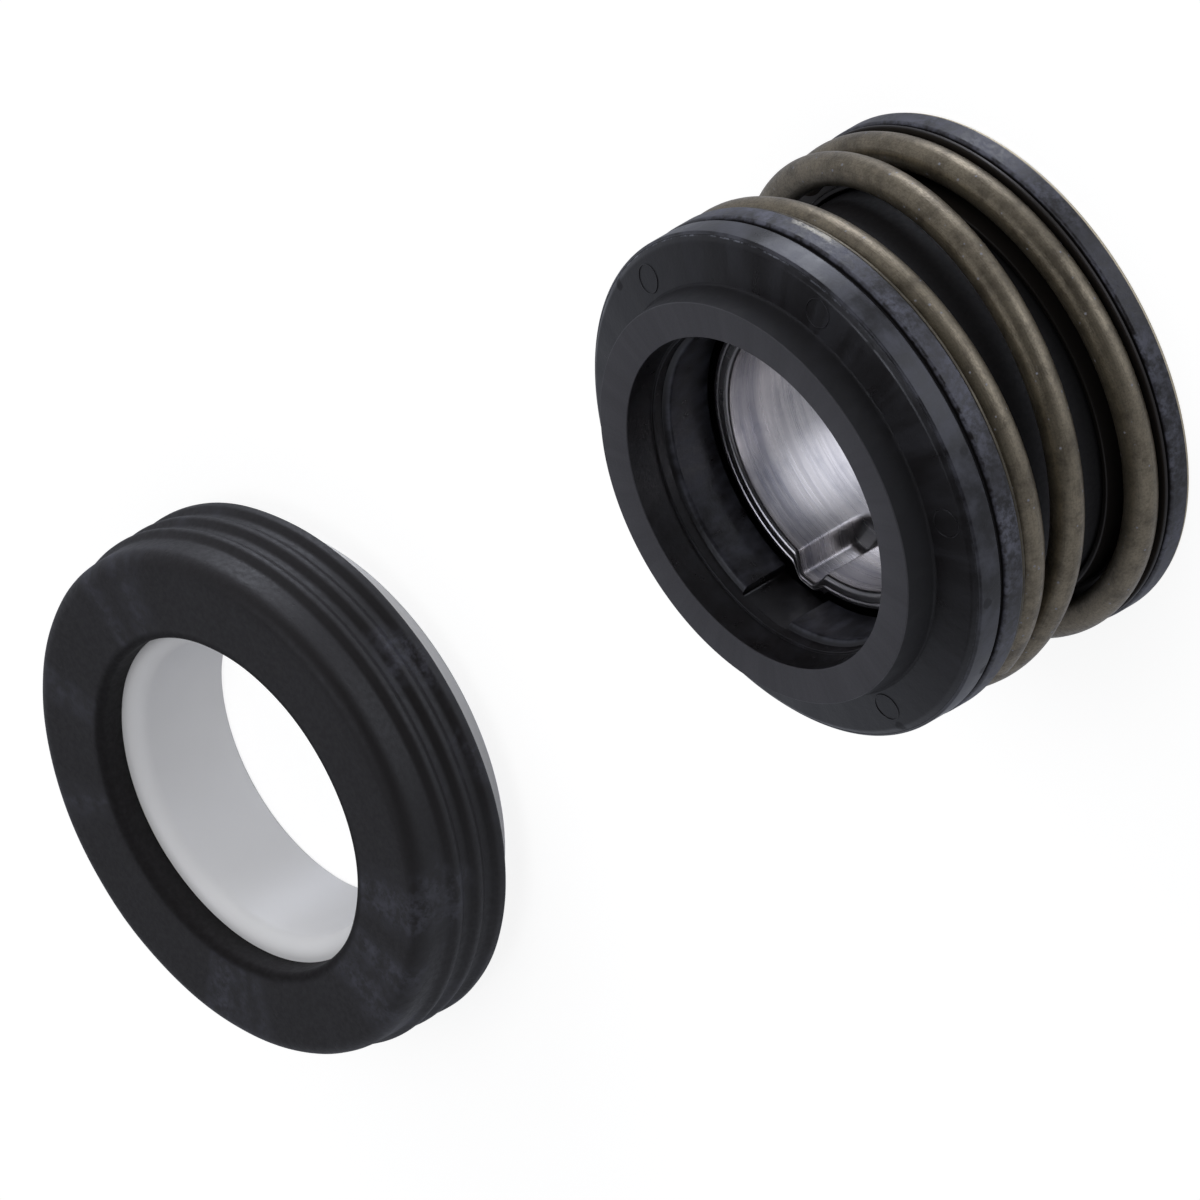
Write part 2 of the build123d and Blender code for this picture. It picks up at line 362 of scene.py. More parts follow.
class Wiring:
    """Adds nodes to one tree."""

    def __init__(self, tree):
        self.tree = tree

    def add(self, kind, choices=None, sockets=None, out=0):
        """Adds a node, makes its choices first, fills or links its sockets, and gives an output."""
        node = self.tree.nodes.new(kind)
        for key, value in (choices or {}).items():
            setattr(node, key, value)
        for key, value in (sockets or {}).items():
            self.join(value, node.inputs[key])
        return Socket(self, node.outputs[out]) if len(node.outputs) else node

    def join(self, value, target):
        """Links a socket's value, or sets a plain one."""
        if isinstance(value, Socket):
            self.tree.links.new(value.output, target)
        else:
            target.default_value = value

    def parts(self, vector):
        """The three numbers of a vector."""
        node = self.add("ShaderNodeSeparateXYZ", None, {0: vector}).output.node
        return [Socket(self, output) for output in node.outputs]

    def vector(self, x, y, z):
        """A vector from three numbers."""
        return self.add("ShaderNodeCombineXYZ", None, {0: x, 1: y, 2: z})

    def mix(self, share, first, second):
        """A colour between two, by share. Each is a socket or red, green and blue."""
        choices = {"data_type": "RGBA", "clamp_factor": True}
        first, second = (c if isinstance(c, Socket) else rgba(c) for c in (first, second))
        return self.add("ShaderNodeMix", choices, {0: share, 6: first, 7: second}, out=2)


class Paint(Wiring):
    """One material, made round a single surface shader."""

    def __init__(self, name, axis):
        self.material = bpy.data.materials.new(name)
        self.material.use_nodes = True
        super().__init__(self.material.node_tree)
        self.tree.nodes.clear()
        place = self.add("ShaderNodeTexCoord", out="Object")
        shift = {"Location": (-axis / MM, 0, 0), "Scale": (1 / MM,) * 3}
        self.place = self.add("ShaderNodeMapping", None, {"Vector": place, **shift})
        self.x, self.y, self.z = self.parts(self.place)
        self.radius = (self.x * self.x + self.y * self.y) ** 0.5
        self.cosine = self.x / self.radius
        self.sine = self.y / self.radius

    def cloud(self, scale, detail=3.0, roughness=0.55, place=None):
        """Noise from 0 to 1."""
        sockets = {"Vector": place or self.place, "Scale": scale, "Detail": detail}
        sockets["Roughness"] = roughness
        return self.add("ShaderNodeTexNoise", None, sockets)

    def flecks(self, scale, low, high, place=None):
        """Small round spots, 1 inside and 0 outside, of uneven size."""
        sockets = {"Vector": place or self.place, "Scale": scale, "Randomness": 1.0}
        return self.add("ShaderNodeTexVoronoi", None, sockets).ramp(low, high, 1.0, 0.0)

    def around(self, across, along):
        """A place that turns with the axis: bearings stretched by across, heights by along."""
        return self.vector(self.cosine * across, self.sine * across, self.z * along)

    def towards(self, degrees, reach):
        """1 at a bearing about the axis, easing to 0 at reach degrees from it."""
        turn = math.radians(degrees)
        closeness = self.cosine * math.cos(turn) + self.sine * math.sin(turn)
        return closeness.ramp(math.cos(math.radians(reach)), 1.0)

    def cloud_shifted(self, scale, reach):
        """The place moved up to reach millimetres along each axis by noise."""
        sockets = {"Vector": self.place, "Scale": scale, "Detail": 3.0}
        noise_colour = self.add("ShaderNodeTexNoise", None, sockets, out=1)
        sockets = {0: noise_colour, 1: (reach,) * 3, 2: self.place}
        return self.add("ShaderNodeVectorMath", {"operation": "MULTIPLY_ADD"}, sockets)

    def finish(self, tint, roughness, bump, depth, **further):
        """Makes the surface shader. Depth is how many millimetres a bump of 1 stands up."""
        relief = {"Strength": 1.0, "Distance": depth * MM, "Height": bump}
        normal = self.add("ShaderNodeBump", None, relief)
        sockets = {"Base Color": tint, "Roughness": roughness, "Normal": normal, **further}
        shader = self.add("ShaderNodeBsdfPrincipled", None, sockets)
        self.add("ShaderNodeOutputMaterial", None, {0: shader})
        return self.material


# Finishes


def rubber_finish(name, axis, inner, outer, bloom_share, evenness, gloss, scuff=None):
    """Black rubber, with cloudy grey-blue bloom and fine flecks from one radius to another; inside
    the first radius it takes a darker colour, which is painted shade.

    Evenness goes from 0, bloom in a few smears, to 1, bloom nearly everywhere. Gloss is the
    roughness where the rubber is cleanest. Scuff is the bearing and height of a scraped place,
    in degrees and millimetres.
    """
    look = settings("seal_finishes")
    paint = Paint(name, axis)
    smears = paint.cloud(0.6, 3.0, place=paint.around(4.0, 0.3)).ramp(0.62 - 0.4 * evenness, 0.7)
    clouds = paint.cloud(0.8, 5.0, 0.65)
    grain = paint.cloud(2.6, 4.0, 0.65)
    flecks = paint.flecks(1.6, 0.08, 0.2)
    # 1 on the outer faces, which take bloom, and 0 further in, where the darker colour is painted
    # shade.
    worn_and_unshaded = paint.radius.ramp(inner / MM, outer / MM)
    bloom = (clouds * 0.5 + grain * 0.5).ramp(0.39, 0.64) * smears * (1 - flecks * 0.7)
    dust = paint.flecks(2.3, 0.04, 0.1) * clouds.ramp(0.45, 0.65) * 0.6
    share = bloom.maths("MAXIMUM", dust * smears) * worn_and_unshaded * bloom_share
    # Painted shade: the darker rubber colour inside the inner radius.
    clean = paint.mix(worn_and_unshaded, look.drum, look.rubber)
    tint = paint.mix(share, clean, look.bloom)
    if scuff:
        degrees, height = scuff
        patch = paint.towards(degrees, 9.0) * paint.z.band(height - 0.1, height + 0.1, 0.35)
        scraped = paint.cloud(1.0, 5.0, 0.7, place=paint.around(20.0, 2.0)).ramp(0.44, 0.56)
        tint = paint.mix(patch * scraped * worn_and_unshaded, tint, look.scuff)
    dulled = share * 0.25 + (1 - worn_and_unshaded) * 0.3
    skin = grain * 0.8 + paint.cloud(0.35, 2.0) * 2.0 - flecks * worn_and_unshaded * 0.3
    roughness = grain.ramp(0.3, 0.7, gloss, gloss + 0.12) + dulled
    return paint.finish(tint, roughness, skin, 0.016)


def carbon_finish():
    """Moulded carbon: lapped nose face, glossy moulded skin, streaked rim with a painted bluish
    sheen, painted sheen in the hub bore, and pale flash.
    """
    look = settings("seal_finishes")
    head = settings("seal_head")
    paint = Paint("moulded_carbon", washer_box.axis)
    face, edge, hub = (x / MM for x in (washer_box.top, washer_box.radius, head.hub_bore))
    nose = head.nose_radius / MM
    root = nose + head.nose_draft / MM
    on_nose = paint.z.ramp(face - 0.12, face - 0.04)
    on_rim = paint.radius.ramp(edge - 0.25, edge - 0.1)
    flash_edge = edge - head.shoulder_inset / MM * 0.45
    streaks = paint.cloud(0.6, 4.0, 0.6, place=paint.around(16.0, 0.9))
    grain = paint.cloud(4.0, 3.0)
    fine = paint.cloud(14.0, 2.0)
    skin = paint.mix(streaks.ramp(0.42, 0.72) * 0.04, look.carbon, look.bloom)
    # Rim: grey-blue streaks, partly moulding streaks and partly a painted bluish sheen.
    rim = paint.mix(streaks.ramp(0.35, 0.75) * 0.3, look.carbon, look.bloom)
    lapped = paint.mix(fine.ramp(0.35, 0.75) * 0.25, look.lapped, look.carbon)
    broken = paint.cloud(1.0, 6.0, 0.75, place=paint.around(20.0, 2.0)).ramp(0.46, 0.62)
    flash = paint.radius.band(flash_edge - 0.01, flash_edge + 0.01, 0.06) * broken
    upper = paint.z.ramp(face - 3.3, face - 3.1)
    bore_sheen = paint.radius.ramp(hub + 0.3, hub + 0.1)
    on_side = paint.radius.band(nose - 0.06, root + 0.1, 0.1) * (1 - on_nose)
    ragged = paint.cloud_shifted(2.2, 0.45)
    chips = paint.flecks(0.3, 0.1, 0.15, ragged) * paint.radius.ramp(root + 0.2, root + 0.7)
    tint = paint.mix(on_rim, skin, rim)
    # Painted sheen: the grey-blue colour in the hub bore stands in for its bluish reflection.
    tint = paint.mix(bore_sheen * streaks.ramp(0.25, 0.8) * 0.3, tint, look.bloom)
    # The pale flash is strongest towards a bearing of 72 degrees and faint elsewhere.
    flash_bearing_share = paint.towards(72.0, 60.0)
    tint = paint.mix(flash * upper * (flash_bearing_share * 0.34 + 0.06), tint, look.flash)
    tint = paint.mix(chips * 0.8, tint, look.carbon)
    tint = paint.mix(on_nose, tint, lapped)
    roughness = streaks.ramp(0.3, 0.7, 0.27, 0.42) + on_nose * 0.15 + chips * 0.2 + on_side * 0.3
    bump = grain * 0.5 + paint.cloud(0.5, 2.0) * 1.5 * (1 - on_nose)
    return paint.finish(tint, roughness, bump, 0.018)


def wire_finish():
    """Dull drawn wire: olive-bronze skin, dark stain, lengthwise draw lines and pale specks."""
    look = settings("seal_finishes")
    head = settings("seal_head")
    paint = Paint("drawn_wire", spring_box.axis)
    height = paint.add("ShaderNodeAttribute", {"attribute_name": "coil_height"}, out="Fac")
    mean_radius = (spring_box.radius - head.wire_radius) / MM
    outward = paint.radius - mean_radius
    upward = paint.z - height / MM
    turn = upward.maths("ARCTAN2", outward)
    along = paint.vector(turn * 6.0, paint.cosine * 1.6, paint.sine * 1.6)
    lines = paint.cloud(1.6, 4.0, 0.7, place=along)
    stain = paint.cloud(0.6, 5.0, 0.65)
    grain = paint.cloud(5.5, 4.0, 0.7)
    specks = paint.flecks(1.25, 0.08, 0.14) * stain.ramp(0.36, 0.46)
    tint = paint.mix(stain.ramp(0.4, 0.7) * 0.5, look.wire, look.stain)
    tint = paint.mix(grain.ramp(0.4, 0.68) * 0.28, tint, look.stain)
    tint = paint.mix(lines.ramp(0.5, 0.75) * 0.3, tint, look.stain)
    tint = paint.mix(specks * 0.7, tint, look.flash)
    roughness = grain.ramp(0.3, 0.7, 0.3, 0.46) + specks * 0.2
    metallic = 0.8 - specks * 0.5
    bump = lines * 0.5 + grain * 0.9
    return paint.finish(tint, roughness, bump, 0.024, Metallic=metallic)


def bright_sheet_finish():
    """Bright stainless sheet with fine turned lines and grey stains, painted shade in a band near
    its mouth, and a dulled cut flange edge.
    """
    look = settings("seal_finishes")
    paint = Paint("bright_sheet", sleeve_box.axis)
    lines = paint.cloud(1.0, 5.0, 0.7, place=paint.around(0.8, 9.0))
    bands = paint.cloud(1.0, 4.0, 0.6, place=paint.around(1.4, 2.2))
    haze = paint.cloud(0.5, 5.0, 0.6)
    mouth = sleeve_box.top / MM
    # Painted shade: a darker band just below the sleeve's mouth.
    mouth_shade = paint.z.band(mouth - 2.2, mouth - 1.2, 1.2)
    rim = sleeve_box.radius / MM
    cut_edge = paint.radius.ramp(rim - 1.6, rim - 1.0)
    # Bands and haze are grey stains; the band near the mouth is painted shade.
    marks = bands.ramp(0.42, 0.62) * 0.25 + mouth_shade * 0.5 + haze.ramp(0.45, 0.7) * 0.2
    tint = paint.mix(marks, look.sheet, look.stained)
    # The flange's outer edge takes the paler gold colour, brightened so that the thin edge shows.
    tint = paint.mix(cut_edge, tint, look.cut_sheet)
    roughness = lines.ramp(0.3, 0.7, 0.25, 0.34) + cut_edge * 0.25
    metal = {"Metallic": 1 - cut_edge * 0.3, "Anisotropic": 0.6}
    return paint.finish(tint, roughness, lines * 0.4 + bands * 1.2, 0.004, **metal)


def dull_sheet_finish(name, base, metallic):
    """Thin sheet of the rings that the spring bears on, in a given colour with haze that fades
    towards the near-black sheet colour.
    """
    look = settings("seal_finishes")
    paint = Paint(name, 0.0)
    haze = paint.cloud(0.8, 5.0, 0.65)
    lines = paint.cloud(1.0, 4.0, 0.7, place=paint.around(2.0, 4.0))
    tint = paint.mix(haze.ramp(0.35, 0.65) * 0.5, base, look.shade_and_stain_sheet)
    roughness = lines.ramp(0.3, 0.7, 0.34, 0.5)
    return paint.finish(tint, roughness, lines, 0.008, Metallic=metallic)


def ceramic_finish():
    """White sintered ceramic, smooth, with a faint bluish unevenness."""
    look = settings("seal_finishes")
    paint = Paint("white_ceramic", ceramic_box.axis)
    clouds = paint.cloud(0.12, 2.0)
    grain = paint.cloud(8.0, 3.0)
    shade = [channel * 0.965 for channel in look.ceramic]
    tint = paint.mix(clouds.ramp(0.35, 0.7), look.ceramic, shade)
    roughness = grain.ramp(0.3, 0.7, 0.42, 0.5)
    return paint.finish(tint, roughness, grain, 0.004)


# Forms


def rounded(*corners, arc_step=math.radians(12)):
    """A closed section from (radius, height, rounding) corners, with arcs at the rounded ones."""
    most = 0.49
    least = 0.001 * MM
    points = []
    for i, (radius, height, bend) in enumerate(corners):
        here = Vector((radius, height))
        back = Vector(corners[i - 1][:2]) - here
        ahead = Vector(corners[(i + 1) % len(corners)][:2]) - here
        half = back.angle(ahead) / 2
        run = min(bend / math.tan(half), back.length * most, ahead.length * most)
        if run < least:
            points.append(here)
            continue
        bend = run * math.tan(half)
        halfway = (back.normalized() + ahead.normalized()).normalized()
        centre = here + halfway * bend / math.sin(half)
        spoke = here + back.normalized() * run - centre
        sweep = spoke.angle_signed(here + ahead.normalized() * run - centre)
        steps = max(2, math.ceil(abs(sweep) / arc_step))
        for step in range(steps + 1):
            points.append(centre + Matrix.Rotation(-sweep * step / steps, 2) @ spoke)
    return points


def stepped(profile, edge, top):
    """Corners of a profile given as steps in from an edge and down from a top."""
    return [(edge - inset * MM, top - drop * MM, bend * MM) for inset, drop, bend in profile]


def refined(section, longest):
    """The section with its long straight runs divided."""
    points = []
    for i, here in enumerate(section):
        ahead = section[(i + 1) % len(section)]
        steps = max(1, math.ceil((ahead - here).length / longest))
        points += [here.lerp(ahead, step / steps) for step in range(steps)]
    return points


def added(name, data):
    """A new object in the scene, with its data."""
    thing = bpy.data.objects.new(name, data)
    bpy.context.scene.collection.objects.link(thing)
    return thing


def smoothed(piece, crease=math.radians(35)):
    """Gives a piece smooth shading, and keeps the edges sharp that turn by more than the crease."""
    piece.data.shade_smooth()
    piece.data.set_sharp_from_angle(angle=crease)
    return piece


def mesh_piece(name, form, crease=math.radians(35)):
    """A smooth-shaded object from a bmesh, with its sharp edges kept."""
    bmesh.ops.recalc_face_normals(form, faces=form.faces)
    mesh = bpy.data.meshes.new(name)
    form.to_mesh(mesh)
    form.free()
    return smoothed(added(name, mesh), crease)


def swept_section(section_at, bearings, axis):
    """A bmesh of closed sections, one at each bearing about an upright axis."""
    form = bmesh.new()
    rings = []
    for turn in bearings:
        across = Vector((math.cos(turn), math.sin(turn), 0))
        middle = Vector((axis, 0, 0))
        rings.append(
            [form.verts.new(middle + across * p.x + Vector((0, 0, p.y))) for p in section_at(turn)]
        )
    for ring, after in zip(rings, rings[1:] + rings[:1]):
        for i in range(len(ring)):
            j = (i + 1) % len(ring)
            form.faces.new((ring[i], ring[j], after[j], after[i]))
    return form


def turned(name, section, axis):
    """A solid of revolution about an upright axis."""
    bearings = [FULL_TURN * i / SIDES for i in range(SIDES)]
    return mesh_piece(name, swept_section(lambda turn: section, bearings, axis))


def uneven(piece, depth, scale):
    """Moves each point of a soft piece a little along its normal, by smooth noise."""
    vertices = piece.data.vertices
    moves = [vertex.normal * noise.noise(vertex.co * scale) * depth for vertex in vertices]
    for vertex, move in zip(vertices, moves):
        vertex.co += move
    piece.data.update()


def baked(piece):
    """Replaces a piece's mesh with the result of its modifiers, and removes them."""
    made = bpy.data.meshes.new_from_object(
        piece.evaluated_get(bpy.context.evaluated_depsgraph_get())
    )
    piece.modifiers.clear()
    piece.data = made
    return piece


def dressed(piece, material, body, slot, *nodes):
    """Gives a piece its finish and its body, and hides the CAD nodes it stands for. The slot
    argument is not used.
    """
    piece.data.materials.clear()
    piece.data.materials.append(material)
    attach(piece, body)
    if nodes:
        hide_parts(*nodes)


# Geometry node trees


class Growth(Wiring):
    """A geometry node tree with named inputs, run once on a mesh of loose points or none.

    Its first input is the mesh, because a modifier passes its mesh to the first one only.
    """

    def __init__(self, name, inputs, places=()):
        super().__init__(bpy.data.node_groups.new(name, "GeometryNodeTree"))
        self.places = places
        sides = self.tree.interface
        self.values = inputs
        sides.new_socket("Points", in_out="INPUT", socket_type="NodeSocketGeometry")
        for label, value in inputs.items():
            kind = "NodeSocketInt" if isinstance(value, int) else "NodeSocketFloat"
            sides.new_socket(label, in_out="INPUT", socket_type=kind)
        sides.new_socket("Geometry", in_out="OUTPUT", socket_type="NodeSocketGeometry")
        group = self.tree.nodes.new("NodeGroupInput")
        self.inputs = {label: Socket(self, group.outputs[label]) for label in inputs}
        self.points = Socket(self, group.outputs["Points"])

    def grown(self, name, geometry, material):
        """Ends the tree, runs it on a new object and gives that object with a plain mesh."""
        real = self.add("GeometryNodeRealizeInstances", None, {0: geometry})
        painted = self.add("GeometryNodeSetMaterial", None, {0: real, 2: material})
        self.add("NodeGroupOutput", None, {0: painted})
        points = bpy.data.meshes.new(name)
        points.from_pydata(self.places, [], [])
        piece = added(name, points)
        modifier = piece.modifiers.new(name, "NODES")
        modifier.node_group = self.tree
        for item in self.tree.interface.items_tree:
            if item.in_out == "INPUT" and item.name in self.values:
                modifier[item.identifier] = self.values[item.name]
        return baked(piece)


def grow_spring(material):
    """The spring: wire swept along a left-hand path with flat end coils and an eased drop."""
    head = settings("seal_head")
    wire = head.wire_radius
    tree = Growth(
        "spring_path",
        {
            "Steps": 720,
            "Wire radius": wire,
            "Mean radius": spring_box.radius - wire,
            "Upper height": spring_box.top - wire,
            "Lower height": spring_box.foot + wire,
            "Upper tip": head.upper_tip,
            "Lift start": head.lift_start,
            "Lift end": head.lift_end,
            "Lower tip": head.lower_tip,
        },
    )
    given = tree.inputs
    line = tree.add("GeometryNodeMeshLine", None, {"Count": given["Steps"]})
    path = tree.add("GeometryNodeMeshToCurve", None, {0: line})
    index = tree.add("GeometryNodeInputIndex")
    share = index / (given["Steps"] - 1)
    turn = given["Upper tip"] + (given["Lower tip"] - given["Upper tip"]) * share
    height = turn.ramp(
        given["Lift start"], given["Lift end"], given["Upper height"], given["Lower height"]
    )
    x = turn.maths("COSINE") * given["Mean radius"]
    y = turn.maths("SINE") * given["Mean radius"]
    sockets = {"Geometry": path, "Position": tree.vector(x, y, height)}
    path = tree.add("GeometryNodeSetPosition", None, sockets)
    sockets = {"Geometry": path, "Name": "coil_height", "Value": height}
    path = tree.add("GeometryNodeStoreNamedAttribute", {"data_type": "FLOAT"}, sockets)
    path = tree.add("GeometryNodeSetCurveNormal", {"mode": "Z_UP"}, {0: path})
    circle = tree.add(
        "GeometryNodeCurvePrimitiveCircle", None, {"Resolution": 36, "Radius": given["Wire radius"]}
    )
    sockets = {"Curve": path, "Profile Curve": circle, "Fill Caps": True}
    swept = tree.add("GeometryNodeCurveToMesh", None, sockets)
    return smoothed(tree.grown("coil_spring", swept, material), crease=math.radians(50))


# Operators, one for each group of pieces


def slot_cutter(head):
    """The block that cuts the drive slot out of the washer's hub."""
    form = bmesh.new()
    bmesh.ops.create_cube(form, size=1.0)
    inner = head.shaft_radius
    overrun = 0.5 * MM
    corner = 0.18 * MM
    foot = washer_box.foot - overrun
    top = washer_box.top - head.slot_top
    sides = Vector((head.slot_floor - inner, head.slot_width, top - foot))
    place = Matrix.Translation(((inner + head.slot_floor) / 2, 0, (foot + top) / 2))
    bmesh.ops.transform(form, matrix=place @ Matrix.Diagonal((*sides, 1)), verts=form.verts)
    rounding = {"offset": corner, "segments": 3, "affect": "EDGES", "profile": 0.5}
    bmesh.ops.bevel(form, geom=list(form.edges), **rounding)
    turn = Matrix.Rotation(head.drive_bearing, 4, "Z")
    bmesh.ops.transform(form, matrix=turn, verts=form.verts)
    return mesh_piece("slot_cutter", form)


class SEAL_OT_washer(bpy.types.Operator):
    """Carbon seal washer with its nose, shoulder, rim and slotted hub"""

    bl_idname = "seal.washer"
    bl_label = "Seal washer"

    def execute(self, context):
        head = settings("seal_head")
        top = washer_box.top
        rim = washer_box.radius
        rim_top = top - head.rim_drop
        rim_foot = rim_top - head.rim_height
        root = head.nose_radius + head.nose_draft
        step = top - head.bore_step
        land = step - head.land_depth
        section = rounded(
            (head.nose_bore, top, 0.06 * MM),
            (head.nose_radius, top, 0.07 * MM),
            (root, top - head.nose_depth, 0.22 * MM),
            (rim - head.shoulder_inset, top - head.shoulder_drop, 0.45 * MM),
            *stepped(RIM_FLASH, rim, rim_top),
            (rim, rim_foot, 0.15 * MM),
            (head.hub_radius, rim_foot, 0.0),
            (head.hub_radius, washer_box.foot, 0.15 * MM),
            (head.hub_bore, washer_box.foot, 0.15 * MM),
            (head.hub_bore, land - 0.3 * MM, 0.3 * MM),
            (head.land_radius, land, 0.1 * MM),
            (head.land_radius, step, 0.08 * MM),
            (head.nose_bore, step, 0.04 * MM),
        )
        piece = turned("carbon_washer", section, washer_box.axis)
        cutter = slot_cutter(head)
        cut = piece.modifiers.new("slot", "BOOLEAN")
        cut.object = cutter
        cut.solver = "EXACT"
        baked(piece)
        bpy.data.objects.remove(cutter)
        smoothed(piece)
        material = carbon_finish()
        dressed(piece, material, "face_carrier", "carbon", "seal_washer")
        dressed(grow_pin_marks(material), material, "face_carrier", "carbon")
        return {"FINISHED"}


def grow_pin_marks(material):
    """Faint round marks of the mould's ejector pins, one at each point on the shoulder."""
    head = settings("seal_head")
    root = head.nose_radius + head.nose_draft
    run = washer_box.radius - head.shoulder_inset - root
    fall = head.shoulder_drop - head.nose_depth
    places = []
    for degrees, radius in PIN_MARKS:
        turn = math.radians(degrees)
        across = radius * MM
        height = washer_box.top - head.nose_depth - fall * (across - root) / run
        places.append((across * math.cos(turn), across * math.sin(turn), height))
    sizes = {"Mark radius": head.mark_radius, "Mark line": head.mark_line}
    sizes["Slope"] = math.atan2(fall, run)
    tree = Growth("pin_mark_rings", sizes, places)
    given = tree.inputs
    sockets = {"Resolution": 48, "Radius": given["Mark radius"]}
    ring = tree.add("GeometryNodeCurvePrimitiveCircle", None, sockets)
    sockets = {"Resolution": 8, "Radius": given["Mark line"]}
    line = tree.add("GeometryNodeCurvePrimitiveCircle", None, sockets)
    mark = tree.add("GeometryNodeCurveToMesh", None, {0: ring, 1: line})
    x, y = tree.parts(tree.add("GeometryNodeInputPosition"))[:2]
    turned_to = tree.vector(0.0, given["Slope"], y.maths("ARCTAN2", x))
    sockets = {"Points": tree.points, "Instance": mark, "Rotation": turned_to}
    marks = tree.add("GeometryNodeInstanceOnPoints", None, sockets)
    piece = tree.grown("pin_marks", marks, material)
    piece.data.shade_smooth()
    return piece


class SEAL_OT_bellows(bpy.types.Operator):
    """Rubber bellows between the sleeve and the face, built at one length though the real one
    shortens
    """

    bl_idname = "seal.bellows"
    bl_label = "Bellows"

    def execute(self, context):
        head = settings("seal_head")
        rim = bellows_box.radius
        tail = rim - 0.03 * MM
        foot = bellows_box.foot
        step_base = foot + head.tail_flange
        seat_base = rear_seat_box.foot
        front_base = front_seat_box.top
        front_top = front_base + head.front_flange
        drum_bore = head.drum_radius - head.drum_wall
        grip = head.shaft_radius + head.sleeve_sheet
        grip_outer = grip + head.tail_wall
        floor = foot + head.tail_floor
        section = rounded(
            (grip, foot, 0.0),
            (sleeve_box.radius, foot, 0.0),
            (sleeve_box.radius, head.skirt_height, 0.0),
            (tail, head.skirt_height, 0.04 * MM),
            (tail, step_base, 0.25 * MM),
            (tail - head.flange_step, step_base + 0.03 * MM, 0.1 * MM),
            (tail - head.flange_step, seat_base, 0.02 * MM),
            (head.drum_radius, seat_base, 0.0),
            (head.drum_radius, front_base, 0.3 * MM),
            (rim, front_base, 0.2 * MM),
            (rim, front_top, 0.28 * MM),
            (rim - head.flange_step, front_top + 0.04 * MM, 0.1 * MM),
            (rim - head.flange_step, bellows_box.top, 0.02 * MM),
            (head.hub_radius, bellows_box.top, 0.0),
            (head.hub_radius, front_base, 0.2 * MM),
            (drum_bore, front_base - 0.1 * MM, 0.2 * MM),
            (drum_bore, floor, 0.5 * MM),
            (grip_outer, floor, 0.5 * MM),
            (grip_outer, floor + head.tail_height, 0.5 * MM),
            (grip, floor + head.tail_height, 0.2 * MM),
        )
        piece = turned("rubber_bellows", refined(section, SOFT_RUN), bellows_box.axis)
        uneven(piece, depth=0.012 * MM, scale=200.0)
        # Inside this radius the rubber takes the darker colour: painted shade on the drum and in
        # the grooves.
        worn_and_unshaded = rim - 0.3 * MM
        look = ("bellows_rubber", bellows_box.axis, worn_and_unshaded, worn_and_unshaded + 0.15 * MM)
        scuffed = (48.0, front_base / MM + 0.25)
        wear = {"bloom_share": 0.85, "evenness": 0.9, "gloss": 0.34, "scuff": scuffed}
        material = rubber_finish(*look, **wear)
        piece.data.materials.append(material)
        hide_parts("bellows")
        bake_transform(piece)
        return {"FINISHED"}


class SEAL_OT_spring(bpy.types.Operator):
    """Coil spring, swept along its path by geometry nodes"""

    bl_idname = "seal.spring"
    bl_label = "Spring"

    def execute(self, context):
        head = settings("seal_head")
        piece = grow_spring(wire_finish())
        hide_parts("spring")
        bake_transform(piece)
        return {"FINISHED"}


def eased(value, low, high):
    """0 below low and 1 above high, easing between them."""
    share = min(max((value - low) / (high - low), 0.0), 1.0)
    return share * share * (3 - 2 * share)


def channel_push(head, turn, height, widening):
    """How far the channel pushes the sleeve's wall outwards, with a flat floor and a ramp."""
    reach = math.radians(20)
    off = (turn - head.drive_bearing + math.pi) % FULL_TURN - math.pi
    if abs(off) > reach:
        return 0.0
    aside = abs(head.shaft_radius * math.sin(off)) - widening
    floor_end = sleeve_box.top - head.channel_length
    along = eased(height, floor_end - head.channel_ramp, floor_end)
    across = 1 - eased(aside, head.channel_floor, head.channel_side)
    return head.channel_depth * along * across


def sleeve_section(head, turn):
    """The sleeve's section at one bearing, with the drive channel pressed into it."""
    inner = head.shaft_radius
    sheet = head.sleeve_sheet
    outer = inner + sheet
    top = sleeve_box.top
    lip = outer + head.mouth_bend + head.lip_width
    flat = rounded(
        (inner, sleeve_box.foot, 0.05 * MM),
        (sleeve_box.radius, sleeve_box.foot, 0.15 * MM),
        (sleeve_box.radius, sheet, 0.3 * MM),
        (outer, sheet, 0.2 * MM),
        (outer, top - sheet, head.mouth_bend),
        (lip, top - sheet, 0.16 * MM),
        *stepped(LIP_CROWN, lip, top),
        (inner, top, 0.7 * MM),
    )
    longest = 0.25 * MM
    flange_start = lip + 0.5 * MM
    lip_foot = top - sheet * 0.9
    outer_widening = sheet * 0.6
    lip_narrowing = 0.6
    section = []
    for point in refined(flat, longest):
        if point.x > flange_start:
            section.append(point)
            continue
        outside = point.x > (inner + outer) / 2 and point.y < lip_foot
        wall = outer if outside else inner
        push = channel_push(head, turn, point.y, outer_widening if outside else 0.0)
        flare = (point.x - wall) * (1 - lip_narrowing * push / head.channel_depth)
        section.append(Vector((wall + push + flare, point.y)))
    return section


class SEAL_OT_sleeve(bpy.types.Operator):
    """Stainless drive sleeve with its rear flange, rolled mouth and drive channel"""

    bl_idname = "seal.sleeve"
    bl_label = "Drive sleeve"

    def execute(self, context):
        head = settings("seal_head")
        crease = math.radians(50)
        near = math.radians(16)
        coarse = 200
        fine = 90
        bearings = [near + (FULL_TURN - 2 * near) * i / coarse for i in range(coarse)]
        bearings += [-near + 2 * near * i / fine for i in range(fine)]
        bearings = [head.drive_bearing + turn for turn in bearings]
        form = swept_section(lambda turn: sleeve_section(head, turn), bearings, sleeve_box.axis)
        piece = mesh_piece("steel_sleeve", form, crease)
        dressed(piece, bright_sheet_finish(), "drive_unit", "stainless_sheet", "drive_sleeve")
        return {"FINISHED"}


